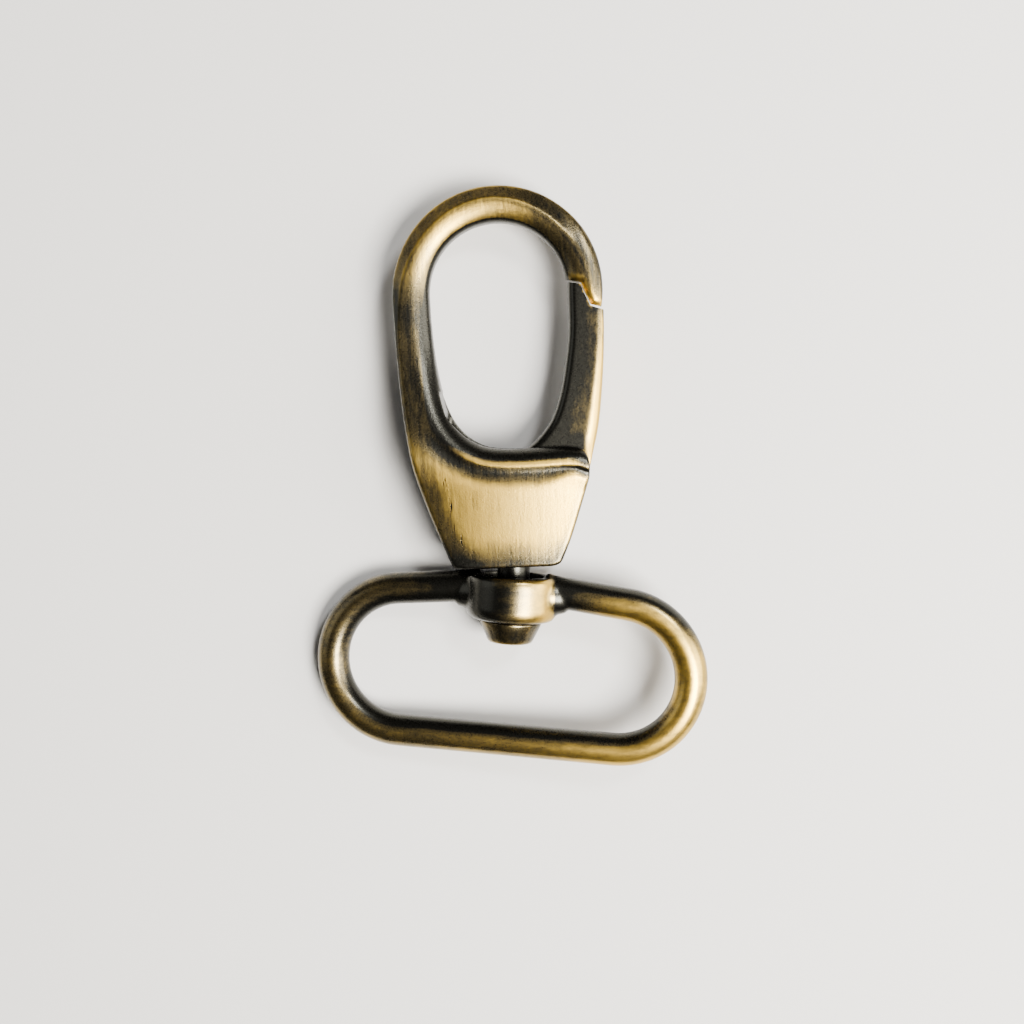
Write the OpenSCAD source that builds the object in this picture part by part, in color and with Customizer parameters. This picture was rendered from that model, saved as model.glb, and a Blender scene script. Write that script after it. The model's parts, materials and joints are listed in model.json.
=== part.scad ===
// Swivel snap hook with a spring gate and an oval strap loop, lying on its back.
// Origin: centre of the flat back of the base. +X is the gate side, +Y runs up the hook
// towards the eye, +Z is the front. Lengths in millimetres, angles in degrees.

/* [Base] */
// Height of the base, from its bottom edge to the crest of its lip
base_h = 11.6; // [11:0.1:12.5]
// Thickness of the base, front to back
base_t = 8.8; // [8.6:0.1:9.6]
// Width of the base along its bottom edge
base_bottom_w = 12.5; // [12:0.1:14]
// Growth of the base's half width for each millimetre up
base_flare = 0.345; // [0.32:0.005:0.36]

/* [Eye] */
// Radius of the round inside of the eye
eye_r = 7.85; // [7.5:0.05:8.0]
// Width of the casting around the eye, seen from the front
eye_bar_w = 4.1; // [3.8:0.1:4.4]
// Thickness of the casting around the eye, front to back
eye_bar_t = 4.4; // [4:0.1:4.8]
// Height of the eye's centre above the origin
eye_y = 25.6; // [25.4:0.1:26]

/* [Gate] */
// Thickness of the gate, front to back
gate_t = 4.3; // [4:0.1:4.4]
// Free gap between the gate and the nose
gate_gap = 0.25; // [0.2:0.05:0.35]
// Diameter of the hinge pin
pin_d = 1.6; // [1.4:0.1:1.8]

/* [Spring] */
// Diameter of the spring wire
spring_wire = 0.4; // [0.3:0.05:0.45]
// Turns of the torsion coil
spring_turns = 3; // [2:1:3]

/* [Swivel] */
// Diameter of the post's shank
shank_d = 3.8; // [3.6:0.1:4]
// Diameter of the post's tapered head, where it meets the collar
head_d = 7.2; // [6.6:0.1:7.4]
// Diameter of the collar
collar_d = 9.6; // [9.2:0.1:10]
// Running clearance between shank and collar, on the radius
swivel_gap = 0.05; // [0.03:0.01:0.1]

/* [Strap loop] */
// Widest strap that the loop takes
strap_w = 38; // [36:1:40]
// Diameter of the loop's bar
loop_bar_d = 3.8; // [3.6:0.1:4]
// Radius of the loop's ends, to the middle of the bar
loop_end_r = 8.48; // [8.2:0.02:8.7]
// Fall of the upper bars away from the collar
loop_slope = 6; // [5:0.5:8]

/* [Rest position] */
// Lean of the loose swivel post in the base
lean = 5.5; // [4:0.5:6]
// Roll of the strap loop about the post
roll = 6.6; // [5:0.1:6.6]

/* [Hidden] */
$fn = 64;
eps = 0.02;
mid_z = base_t / 2;
base_bottom_y = -6;
lip_y = base_bottom_y + base_h;
lip_edge_y = lip_y + 2.06;
eye_x = -0.2;
ring_r = eye_r + eye_bar_w / 2;

// The slot between the front and back plates, which holds the gate's root
slot_t = gate_t + 0.5;
slot_floor_y = -3.4;
mouth_wall_y = 4.7;

pin_x = 4.6;
pin_y = 1.6;
pin_z0 = 0.25;
pin_z1 = 7.4;
root_r = 2.5;
gate_bore_gap = 0.05;
gate_opens = 34;

coil_r = 1.35;
coil_pocket_r = 1.82;
coil_pocket_t = spring_wire * (spring_turns + 2) + 0.1;
// Leg a stands on the slot's right wall, leg b in the gate
leg_a_angle = 259;
leg_a_len = 4.3;
leg_b_angle = 82;
leg_b_len = 3.4;
leg_groove_w = 0.5;

// The post stands a little to the gate side of the middle
post_x = 0.4;
post_bore_gap = 0.17;
pivot_y = (base_bottom_y + slot_floor_y) / 2;
clench_d = 5.6;
clench_h = 1.3;
clench_lift = 0.35;
clench_room_r = 3.2;
clench_edge = 0.8;
collar_top_y = base_bottom_y - 1;
collar_h = 5.3;
collar_cup_d = 7;
collar_cup_h = 1.5;
collar_edge = 0.9;
head_h = 2.6;
head_tip_d = 5.5;
head_gap = 0.06;
head_edge = 0.2;
tip_edge = 0.5;

bar_r = loop_bar_d / 2;
// Free width that the loop has on each side of the strap
strap_ease = 0.28;
// The straight bars are this much slimmer than the round ends, and run this far into them
bar_ease = 0.03;
bar_bite = 0.3;
bar_root_h = 2.4;
bar_root_flare = 0.1;
bars_meet_y = -8.1;
loop_end_x = strap_w / 2 + bar_r - loop_end_r + strap_ease;
loop_end_y = bars_meet_y - loop_end_r / cos(loop_slope) - loop_end_x * tan(loop_slope);
loop_bottom_y = loop_end_y - loop_end_r;
upper_bar_len = (loop_end_x - collar_d / 2 + 1) / cos(loop_slope) + loop_end_r * tan(loop_slope);

// Point at t, from 0 to 1, of the smooth span from b to c, where a comes before and d after
function blend(a, b, c, d, t) =
    0.5 * (2 * b + (c - a) * t + (2 * a - 5 * b + 4 * c - d) * t * t
           + (3 * b - a - 3 * c + d) * t * t * t);
// Smooth curve through an open list of stations of any dimension, steps to each span
function curve(p, steps) = [
    for (i = [0:len(p) - 2], k = [0:steps - 1])
        blend(p[max(i - 1, 0)], p[i], p[i + 1], p[min(i + 2, len(p) - 1)], k / steps),
    p[len(p) - 1]
];
// The same through a closed list
function loop_curve(p, steps) = let (n = len(p)) [
    for (i = [0:n - 1], k = [0:steps - 1])
        blend(p[(i + n - 1) % n], p[i], p[(i + 1) % n], p[(i + 2) % n], k / steps)
];
// Rounded cross-section with half sizes a and b: 2 is an ellipse, higher is squarer
function rounded(a, b, squareness, sides) = [
    for (i = [0:sides - 1]) let (c = cos(360 * i / sides), s = sin(360 * i / sides))
        [a * sign(c) * pow(abs(c), 2 / squareness), b * sign(s) * pow(abs(s), 2 / squareness)]
];

// Closed skin over a row of rings with the same number of points, each running clockwise as
// seen looking back along the row
module skin(rings) {
    n = len(rings[0]);
    m = len(rings);
    sides = [
        for (i = [0:m - 2], j = [0:n - 1])
            let (a = i * n + j, b = i * n + (j + 1) % n, c = b + n, d = a + n)
                each [[a, b, c], [a, c, d]]
    ];
    caps = [[for (j = [n - 1:-1:0]) j], [for (j = [0:n - 1]) (m - 1) * n + j]];
    polyhedron([for (r = rings) each r], concat(sides, caps));
}

// Prism over a front-view outline, from z0 to z1
module plate(outline, z0, z1) {
    translate([0, 0, z0]) linear_extrude(z1 - z0) polygon(outline);
}

// --- hook body -------------------------------------------------------------

function half_w(y) = base_bottom_w / 2 + base_flare * (y - base_bottom_y);

// Front view of the base, anticlockwise from its bottom left corner
base_outline = loop_curve([
    [-half_w(-5.9) + 0.5, -5.97], [0, -6], [half_w(-5.9) - 0.9, -5.97],
    [half_w(-5.3) - 0.35, -5.3], [half_w(-2.4) - 0.35, -2.4], [half_w(1) - 0.3, 1],
    [half_w(4.2) - 0.35, 4.2], [9.3, lip_y], [7.9, lip_edge_y - 0.25],
    [4, lip_edge_y], [0.7, lip_edge_y], [-2.6, lip_edge_y + 0.35], [-5.6, lip_edge_y + 2.2],
    [-8.2, lip_edge_y + 4], [-10.6, lip_edge_y + 2.2], [-half_w(5.5) - 0.1, 5.5],
    [-half_w(0.5) - 0.2, 0.5], [-half_w(-4) - 0.2, -4], [-half_w(-5.5) - 0.05, -5.5]
], 4);

// From front to back: height, and how far the edge has drawn in at the sides and along the lip
base_layers = [
    [base_t, 6.2, 5], [base_t - 0.1, 4.4, 3.6], [base_t - 0.3, 2.4, 2.4], [base_t - 0.55, 1.2, 1.65],
    [base_t - 0.85, 0.5, 1.1], [base_t - 1.2, 0.2, 0.62], [base_t - 1.7, 0.05, 0.22],
    [base_t - 2.4, 0, 0], [1, 0, 0], [0.45, 0.12, 0.1], [0.12, 0.45, 0.4], [0, 0.8, 0.8]
];
function drawn_in(p, side, lip) = [
    p.x * (1 - side / half_w(p.y)),
    p.y - (p.y > 0 ? lip * min(1, pow(p.y / lip_edge_y, 2)) : side * p.y / 6)
];

module base_block() {
    skin([
        for (l = base_layers)
            [for (p = base_outline) let (q = drawn_in(p, l[1], l[2])) [q.x, q.y, l[0]]]
    ]);
}

// Spine stations: x and y of the middle, half width, half thickness
spine = curve([
    [-6.6, 1, 2.2, 4.2], [-7.6, 5, 2.6, 4.2], [-6.9, 7.7, 3.8, 4.05], [-7.5, 8.9, 3.5, 3.9],
    [-8.15, 10.2, 3.05, 3.65], [-8.85, 12, 2.55, 3.35], [-9.45, 14.8, 2.3, 2.95],
    [-9.85, 19.2, 2.17, 2.5], [eye_x - ring_r, eye_y - 1.2, eye_bar_w / 2, eye_bar_t / 2 + 0.02]
], 3);
ring_steps = 30;
nose_drop = 4;
bar_sides = 28;

// Ring of the bar's section, centred on [x, y] and cut square to the heading
function bar_ring(x, y, heading, a, b) = [
    for (q = rounded(a, b, 2.5, bar_sides))
        [x + q.x * sin(heading), y - q.x * cos(heading), mid_z + q.y]
];

module eye_bar() {
    skin(concat(
        [for (s = spine) bar_ring(s[0], s[1], 90, s[2], s[3])],
        [for (i = [0:ring_steps]) let (a = 180 - 180 * i / ring_steps)
            bar_ring(eye_x + ring_r * cos(a), eye_y + ring_r * sin(a), a - 90,
                     eye_bar_w / 2, eye_bar_t / 2)],
        [bar_ring(eye_x + ring_r, eye_y - nose_drop, -90, eye_bar_w / 2, eye_bar_t / 2)]
    ));
}

// Step between the nose and the gate's tongue, from inside the eye to the outside
nose_step = [[6.6, 26.75], [9.35, 26.05], [9.6, 25.3], [10.1, 24.2], [10.35, 23.6], [13, 22.75]];

// Front view of the slot, from its mouth along the eye round the inside of the base
slot_outline = [
    [-7.55, 14.5], [-7.3, 10], [-7.6, 5], [-6.6, 0.5], [-5.2, slot_floor_y], [5.2, slot_floor_y],
    [6.3, -1.3], [7.5, 1.6], [8.3, mouth_wall_y], [12, mouth_wall_y], [12, 16], [-2, 16], [-4, 14.5]
];

module hook_body() color([0.62, 0.52, 0.27]) difference() {
    union() {
        base_block();
        eye_bar();
    }
    // nose
    plate(concat(nose_step, [[13, 19], [6, 19]]), -1, base_t + 1);
    // slot, and the wider room round the clenched end of the post
    plate(slot_outline, mid_z - slot_t / 2, mid_z + slot_t / 2);
    translate([post_x, slot_floor_y, mid_z]) rotate([-90, 0, 0])
        cylinder(r = clench_room_r, h = 3.4);
    // loose bore for the post
    translate([post_x, base_bottom_y - 1, mid_z]) rotate([-90, 0, 0])
        cylinder(d = shank_d + 2 * post_bore_gap, h = 4);
    // blind hole for the hinge pin, drilled from the back
    translate([pin_x, pin_y, -eps]) cylinder(d = pin_d, h = pin_z1 + 0.1 + eps);
}

// --- gate ------------------------------------------------------------------

// Gate stations: height, inner edge, outer edge
gate_stations = curve([
    [5.2, 2.1, 9.5], [7.2, 2.3, 10.05], [8.6, 3.6, 10.45], [10.6, 5.25, 10.85],
    [13.4, 6.35, 11.2], [16.4, 7.0, 11.5], [20, 7.62, 11.72], [23, 7.75, 11.8], [26.8, 7.75, 11.8]
], 3);

function gate_ring(s) = [
    for (q = rounded((s[2] - s[1]) / 2, gate_t / 2, 3.2, bar_sides))
        [(s[1] + s[2]) / 2 + q.x, s[0], mid_z + q.y]
];

// Front view of the root, from the shoulder down round the eye of the hinge
root_outline = concat(
    [[8.1, 5.4], [2.1, 5.6], [1.9, 4.4]],
    [for (a = [170:10:360]) [pin_x + root_r * cos(a), pin_y + root_r * sin(a)]],
    [[7.9, 3.6]]
);

// Front view of a straight channel from a point on the coil, half width w
function channel(from, angle, len, w) = [
    for (q = [[0, -w], [len, -w], [len, w], [0, w]])
        [pin_x + coil_r * cos(from) + q.x * cos(angle) - q.y * sin(angle),
         pin_y + coil_r * sin(from) + q.x * sin(angle) + q.y * cos(angle)]
];

// Front view of the room that the spring's fixed leg needs as the gate swings past it
leg_sweep = let (edge = [pin_x + coil_pocket_r * cos(leg_a_angle + 90),
                         pin_y + coil_pocket_r * sin(leg_a_angle + 90)]) [
    [pin_x, pin_y], edge, edge + 6 * [cos(leg_a_angle + 4), sin(leg_a_angle + 4)],
    [pin_x + 6 * cos(leg_a_angle - gate_opens), pin_y + 6 * sin(leg_a_angle - gate_opens)]
];

module gate() color([0.55, 0.46, 0.25]) difference() {
    union() {
        skin([for (s = gate_stations) gate_ring(s)]);
        plate(root_outline, mid_z - gate_t / 2, mid_z + gate_t / 2);
    }
    // clears the nose all along the step
    translate([-gate_gap * 0.35, -gate_gap, 0])
        plate(concat(nose_step, [[13, 30], [6, 30]]), -1, base_t + 1);
    // hinge bore
    translate([pin_x, pin_y, 0]) cylinder(r = pin_d / 2 + gate_bore_gap, h = base_t);
    // pocket for the coil, the sweep of its fixed leg, and the groove for its moving leg
    translate([pin_x, pin_y, mid_z - coil_pocket_t / 2])
        cylinder(r = coil_pocket_r, h = coil_pocket_t);
    plate(leg_sweep, mid_z - coil_pocket_t / 2, mid_z + coil_pocket_t / 2);
    plate(channel(leg_b_angle - 90, leg_b_angle, leg_b_len + 0.5, leg_groove_w),
          mid_z - coil_pocket_t / 2, mid_z + coil_pocket_t / 2);
}

module gate_pin() color([0.6, 0.6, 0.6])
    translate([pin_x, pin_y, pin_z0]) cylinder(d = pin_d, h = pin_z1 - pin_z0);

// --- gate spring -----------------------------------------------------------

// The coil leaves each leg at a tangent and climbs one pitch to the turn
coil_start = leg_a_angle + 90;
coil_sweep = 360 * spring_turns + (leg_b_angle - 90 - coil_start + 720) % 360;
coil_pitch = spring_wire * 1.12;
coil_rings = 54;
coil_drop = coil_pitch * coil_sweep / 720;

function leg_point(from, angle, len, z) = [
    pin_x + coil_r * cos(from) + len * cos(angle), pin_y + coil_r * sin(from) + len * sin(angle), z
];
spring_path = concat(
    [for (l = [leg_a_len, leg_a_len / 2]) leg_point(coil_start, leg_a_angle, l, mid_z - coil_drop)],
    [for (i = [0:coil_rings]) let (t = i / coil_rings)
        leg_point(coil_start + coil_sweep * t, 0, 0, mid_z - coil_drop + 2 * coil_drop * t)],
    [for (l = [leg_b_len / 2, leg_b_len])
        leg_point(leg_b_angle - 90, leg_b_angle, l, mid_z + coil_drop)]
);

// Round wire along a path that lies nearly flat
module wire(path, r, sides) {
    last = len(path) - 1;
    skin([for (i = [0:last])
        let (d = path[min(i + 1, last)] - path[max(i - 1, 0)],
             f = d / norm(d), u = cross(f, [0, 0, 1]) / norm(cross(f, [0, 0, 1])), v = cross(u, f))
            [for (k = [0:sides - 1])
                path[i] + r * (u * cos(360 * k / sides) + v * sin(360 * k / sides))]
    ]);
}

module gate_spring() color([0.7, 0.7, 0.72]) wire(spring_path, spring_wire / 2, 8);

// --- swivel ----------------------------------------------------------------

// Puts a part that is drawn about the post's own axis into the leaning rest position
module leaning() {
    translate([post_x, pivot_y, mid_z]) rotate([0, 0, -lean]) translate([0, -pivot_y, 0]) children();
}

// Solid of revolution about the post's axis, from points [radius, y]
module turned(profile) {
    rotate([-90, 0, 0]) rotate_extrude() polygon(profile);
}

module swivel_post() color([0.3, 0.3, 0.28]) leaning() {
    clench_y = slot_floor_y + clench_lift;
    seat_y = collar_top_y - collar_h - head_gap;
    tip_y = seat_y - head_h;
    turned([
        [0, clench_y + clench_h], [clench_d / 2 - clench_edge, clench_y + clench_h],
        [clench_d / 2, clench_y + clench_h - clench_edge], [clench_d / 2, clench_y],
        [shank_d / 2, clench_y], [shank_d / 2, seat_y],
        [head_d / 2 - head_edge, seat_y], [head_d / 2, seat_y - head_edge],
        [head_d / 2 - 0.1, seat_y - 0.7],
        [head_tip_d / 2, tip_y + tip_edge], [head_tip_d / 2 - tip_edge, tip_y], [0, tip_y]
    ]);
}

// --- strap loop ------------------------------------------------------------

module half_loop() translate([loop_end_x, loop_end_y, 0]) {
    // round end
    rotate([0, 0, -90]) rotate_extrude(angle = 180 - loop_slope, $fn = 96)
        translate([loop_end_r, 0]) circle(r = bar_r, $fn = 32);
    // upper bar, back from the round end to the collar, with a flare at its root
    rotate([0, 0, -loop_slope]) translate([bar_bite, loop_end_r, 0]) rotate([0, -90, 0]) {
        cylinder(r = bar_r - bar_ease, h = upper_bar_len + bar_bite);
        translate([0, 0, upper_bar_len + bar_bite - bar_root_h])
            cylinder(r1 = bar_r - 0.1, r2 = bar_r + bar_root_flare, h = bar_root_h);
    }
}

module strap_loop() color([0.58, 0.48, 0.26]) leaning() rotate([0, -roll, 0]) difference() {
    union() {
        half_loop();
        mirror([1, 0, 0]) half_loop();
        translate([-loop_end_x - bar_bite, loop_bottom_y, 0]) rotate([0, 90, 0])
            cylinder(r = bar_r - bar_ease, h = 2 * (loop_end_x + bar_bite));
        collar_bottom_y = collar_top_y - collar_h;
        turned([
            [0, collar_top_y], [collar_d / 2 - 0.5, collar_top_y],
            [collar_d / 2 - 0.1, collar_top_y - 0.2], [collar_d / 2, collar_top_y - 0.7],
            [collar_d / 2, collar_bottom_y + collar_edge],
            [collar_d / 2 - 0.3, collar_bottom_y + 0.3 * collar_edge],
            [collar_d / 2 - collar_edge, collar_bottom_y], [0, collar_bottom_y]
        ]);
    }
    translate([0, collar_top_y - collar_h - 1, 0]) rotate([-90, 0, 0])
        cylinder(r = shank_d / 2 + swivel_gap, h = collar_h + 2);
    translate([0, collar_top_y - collar_cup_h, 0]) rotate([-90, 0, 0])
        cylinder(d = collar_cup_d, h = collar_cup_h + 4);
}

hook_body();
gate();
gate_pin();
gate_spring();
swivel_post();
strap_loop();
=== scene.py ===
"""Looks of a swivel snap hook with a spring gate and an oval strap loop, in antique brass.

The pieces are modelled in millimetres, in the hook's own frame: +X is the gate side, +Y runs up
the hook to the eye, +Z is the front. Each is scaled to metres when it is finished.
"""

import json
import math

import bpy
import numpy as np
from bpy.props import FloatProperty, FloatVectorProperty, PointerProperty
from mathutils import Matrix, Vector


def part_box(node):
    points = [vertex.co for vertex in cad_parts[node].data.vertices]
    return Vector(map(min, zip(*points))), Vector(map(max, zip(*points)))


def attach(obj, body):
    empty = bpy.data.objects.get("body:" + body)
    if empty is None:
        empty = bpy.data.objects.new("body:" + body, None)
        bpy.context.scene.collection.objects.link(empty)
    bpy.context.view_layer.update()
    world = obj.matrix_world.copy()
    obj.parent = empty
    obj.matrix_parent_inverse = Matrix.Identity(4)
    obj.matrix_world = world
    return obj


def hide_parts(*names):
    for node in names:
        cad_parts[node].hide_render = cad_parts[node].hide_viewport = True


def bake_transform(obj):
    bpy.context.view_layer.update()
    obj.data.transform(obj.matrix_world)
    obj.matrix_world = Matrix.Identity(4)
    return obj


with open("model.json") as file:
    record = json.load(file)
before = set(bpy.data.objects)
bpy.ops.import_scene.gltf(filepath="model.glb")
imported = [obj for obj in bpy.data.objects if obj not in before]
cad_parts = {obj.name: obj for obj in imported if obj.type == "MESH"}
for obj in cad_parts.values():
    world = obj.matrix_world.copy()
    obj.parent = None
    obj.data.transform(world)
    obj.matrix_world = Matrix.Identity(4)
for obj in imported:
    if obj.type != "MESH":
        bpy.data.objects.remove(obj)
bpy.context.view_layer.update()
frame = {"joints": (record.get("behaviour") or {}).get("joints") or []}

bl_info = {
    "name": "Swivel snap hook",
    "version": (1, 0, 0),
    "blender": (4, 5, 0),
    "location": "3D View > Sidebar > Snap Hook",
    "description": "Builds a cast push-gate snap hook with a swivelling strap loop",
    "category": "Add Mesh",
}

JOINTS = {j["name"]: j for j in frame["joints"]}
MM = 1000.0                                     # millimetres in a metre
MID_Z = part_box("hook_body")[1].z * MM / 2       # the plane through the middle of the castings
PIN = Vector(JOINTS["gate_hinge"]["pos_m"]) * MM
PIVOT = Vector(JOINTS["post_rock"]["pos_m"]) * MM
POST_AXIS = Vector(JOINTS["loop_swivel"]["axis"])
LEAN = math.atan2(POST_AXIS.x, POST_AXIS.y)     # of the post, clockwise seen from the front
CREASE = math.radians(38)                       # edges that turn more than this stay sharp


# --- sizes and colours -----------------------------------------------------------------------

def length(name, description, millimetres):
    return FloatProperty(name=name, description=description, default=millimetres / MM,
                         min=0.0001, precision=5, unit="LENGTH")


def colour(name, description, value):
    return FloatVectorProperty(name=name, description=description, default=value, size=3,
                               min=0.0, max=1.0, subtype="COLOR")


class SnapHookSizes(bpy.types.PropertyGroup):
    """Sizes of the castings"""
    eye_radius: length("Eye radius", "Radius of the round inside of the eye", 7.85)
    eye_bar: length("Eye bar", "Width of the casting around the eye, from the front", 4.15)
    eye_thickness: length("Eye thickness", "Thickness of the casting around the eye", 4.4)
    gate_thickness: length("Gate thickness", "Thickness of the gate, front to back", 4.3)
    loop_bar: length("Loop bar", "Diameter of the strap loop's bar", 3.8)
    loop_end: length("Loop end radius", "Radius of the loop's round ends, to mid bar", 8.48)
    loop_reach: length("Loop reach", "Distance from the post to the centre of a round end", 12.7)
    collar: length("Collar", "Diameter of the loop's collar", 9.6)
    wire: length("Spring wire", "Diameter of the spring's wire", 0.4)


class SnapHookFinish(bpy.types.PropertyGroup):
    """Colours of the plating and the steel"""
    # brass also paints the painted highlights, and tarnish and patina the painted shade, where the
    # wear-and-light tone puts them
    brass: colour("Brass", "Brushed antique brass on the crowns", (0.59, 0.38, 0.065))
    tarnish: colour("Tarnish", "Brown-green film between brass and patina", (0.170, 0.130, 0.057))
    patina: colour("Patina", "Near-black oxide in the hollows", (0.036, 0.035, 0.029))
    steel: colour("Steel", "Pin and spring", (0.50, 0.50, 0.49))
    floor: colour("Floor", "Pale table top", (0.53, 0.52, 0.50))


# --- mesh helpers ----------------------------------------------------------------------------

def deselect():
    if bpy.context.object and bpy.context.object.mode != "OBJECT":
        bpy.ops.object.mode_set(mode="OBJECT")
    bpy.ops.object.select_all(action="DESELECT")


def pick(piece):
    deselect()
    piece.select_set(True)
    bpy.context.view_layer.objects.active = piece


def edit(piece, mode="VERT"):
    pick(piece)
    bpy.ops.object.mode_set(mode="EDIT")
    bpy.ops.mesh.select_mode(type=mode)
    bpy.ops.mesh.select_all(action="SELECT")


def recalculate(piece):
    """Closes seams and turns every face outwards."""
    edit(piece)
    bpy.ops.mesh.remove_doubles(threshold=0.001)
    bpy.ops.mesh.normals_make_consistent(inside=False)
    bpy.ops.object.mode_set(mode="OBJECT")


def apply(piece, kind, **settings):
    """Adds a modifier with these settings and applies it."""
    pick(piece)
    modifier = piece.modifiers.new(kind.title(), kind)
    for name, value in settings.items():
        setattr(modifier, name, value)
    bpy.ops.object.modifier_apply(modifier=modifier.name)


def knead(piece, grain, softness):
    """Makes one even skin of this grain over everything in the piece, then softens its edges."""
    apply(piece, "REMESH", mode="VOXEL", voxel_size=grain, adaptivity=0.0)
    if softness:
        apply(piece, "SMOOTH", factor=0.5, iterations=softness)


def join(pieces):
    pick(pieces[0])
    for other in pieces[1:]:
        other.select_set(True)
    bpy.ops.object.join()


def cut(piece, *tools):
    for tool in tools:
        apply(piece, "BOOLEAN", operation="DIFFERENCE", object=tool, solver="EXACT")
        bpy.data.objects.remove(tool)


def chamfer(piece, width, segments, above):
    """Bevels the edges that turn more than this many degrees."""
    apply(piece, "BEVEL", width=width, segments=segments, limit_method="ANGLE",
          angle_limit=math.radians(above))


def extrude(by):
    """Draws the selected face out by this vector."""
    bpy.ops.mesh.extrude_region_move(TRANSFORM_OT_translate={"value": tuple(by)})


def plate(name, outline, low, high):
    """A flat plate over a front-view outline, from low to high."""
    deselect()
    bpy.ops.mesh.primitive_circle_add(vertices=len(outline), radius=1.0, fill_type="NGON")
    piece = bpy.context.active_object
    piece.name = name
    for vertex, (x, y) in zip(piece.data.vertices, outline):
        vertex.co = (x, y, low)
    edit(piece)
    extrude((0, 0, high - low))
    bpy.ops.object.mode_set(mode="OBJECT")
    recalculate(piece)
    return piece


def rod(name, radius, start, end, sides=64):
    """A round bar from start to end."""
    start, end = Vector(start), Vector(end)
    deselect()
    bpy.ops.mesh.primitive_cylinder_add(
        vertices=sides, radius=radius, depth=(end - start).length, location=(start + end) / 2,
        rotation=(end - start).to_track_quat("Z", "Y").to_euler())
    piece = bpy.context.active_object
    piece.name = name
    bpy.ops.object.transform_apply()
    return piece


def rod_at_pin(name, radius, low, high):
    """A round bar along the gate's hinge axis, from low to high."""
    return rod(name, radius, (PIN.x, PIN.y, low), (PIN.x, PIN.y, high))


def turned(name, profile, sides=96):
    """A solid turned about the Y axis through MID_Z, from points (radius, y) on its outline."""
    deselect()
    bpy.ops.mesh.primitive_circle_add(vertices=len(profile), radius=1.0, fill_type="NOTHING")
    piece = bpy.context.active_object
    piece.name = name
    for vertex, (radius, y) in zip(piece.data.vertices, profile):
        vertex.co = (radius, y, MID_Z)
    edit(piece)
    bpy.ops.mesh.spin(steps=sides, angle=math.tau, center=(0, 0, MID_Z), axis=(0, 1, 0))
    bpy.ops.object.mode_set(mode="OBJECT")
    recalculate(piece)
    return piece


def points_of(piece):
    co = np.empty(len(piece.data.vertices) * 3, np.float32)
    piece.data.vertices.foreach_get("co", co)
    return co.reshape(-1, 3).astype(float)


def place_points(piece, points):
    piece.data.vertices.foreach_set("co", points.astype(np.float32).ravel())
    piece.data.update()


def normals_of(piece):
    out = np.empty(len(piece.data.vertices) * 3, np.float32)
    piece.data.vertex_normals.foreach_get("vector", out)
    return out.reshape(-1, 3).astype(float)


# --- outlines --------------------------------------------------------------------------------

def through(points, steps):
    """Points on a smooth curve through the given ones, steps to each span."""
    p = np.array([points[0], *points, points[-1]], float)
    curve = []
    for a, b, c, d in zip(p, p[1:], p[2:], p[3:]):
        for k in range(steps):
            t = k / steps
            curve.append(0.5 * (2 * b + (c - a) * t + (2 * a - 5 * b + 4 * c - d) * t * t
                                + (3 * b - a - 3 * c + d) * t ** 3))
    return [tuple(q) for q in curve + [p[-1]]]


def arc(centre, radius, start, end, steps):
    """Points on an arc, angles in degrees from +X, anticlockwise if end is greater."""
    angles = np.radians(np.linspace(start, end, steps + 1))
    return [(centre[0] + radius * math.cos(a), centre[1] + radius * math.sin(a)) for a in angles]


def heading(degrees, reach=1.0):
    """A front-view vector of this length in this direction."""
    angle = math.radians(degrees)
    return Vector((math.cos(angle), math.sin(angle))) * reach


def smoothstep(low, high, value):
    t = np.clip((value - low) / (high - low), 0.0, 1.0)
    return t * t * (3 - 2 * t)


def distance_to(run, x, y, closed=False):
    """Distance of each point (x, y) from a row of points joined by straight lines."""
    xy = np.column_stack((x, y))
    a = np.array(run)
    best = np.full(len(xy), 1e9)
    for p, q in zip(a if closed else a[:-1], np.roll(a, -1, axis=0)):
        d = q - p
        along = np.clip(((xy - p) @ d) / max(d @ d, 1e-12), 0, 1)
        best = np.minimum(best, np.hypot(*(xy - p - along[:, None] * d).T))
    return best


def rolled(distance, radius, squareness=2.0):
    """How far a rounded edge has dropped: 1 at the outline, 0 where the rounding ends."""
    t = 1 - np.clip(distance / radius, 0.0, 1.0)
    return 1 - (1 - t ** squareness) ** (1 / squareness)


def bevelled(distance, width):
    """How far a flat bevel has dropped: 1 at the outline, 0 at its ridge."""
    return 1 - np.clip(distance / width, 0.0, 1.0)


def press(piece, front, back):
    """Presses a flat plate into a casting: front and back give its half thickness at (x, y)."""
    p = points_of(piece)
    x, y = p[:, 0], p[:, 1]
    level = (p[:, 2] - MID_Z) / np.abs(p[:, 2] - MID_Z).max()
    p[:, 2] = MID_Z + level * np.where(level > 0, front(x, y), back(x, y))
    place_points(piece, p)


# --- wear and painted light, stored on each casting for its material -------------------------

def relief(piece, rounds):
    """How far each point stands proud of its smoothed surroundings, in millimetres."""
    mesh = piece.data
    ends = np.empty(len(mesh.edges) * 2, np.int32)
    mesh.edges.foreach_get("vertices", ends)
    a, b = ends.reshape(-1, 2).T
    start = points_of(piece)
    count = np.bincount(a, minlength=len(start)) + np.bincount(b, minlength=len(start))
    smooth = start.copy()
    for _ in range(rounds):
        total = np.empty_like(smooth)
        for axis in range(3):
            total[:, axis] = (np.bincount(a, smooth[b, axis], len(start))
                              + np.bincount(b, smooth[a, axis], len(start)))
        smooth = 0.4 * smooth + 0.6 * total / np.maximum(count, 1)[:, None]
    return ((start - smooth) * normals_of(piece)).sum(1)


def store(piece, name, values):
    attribute = piece.data.attributes.new(name, "FLOAT", "POINT")
    attribute.data.foreach_set("value", values.astype(np.float32))


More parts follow.
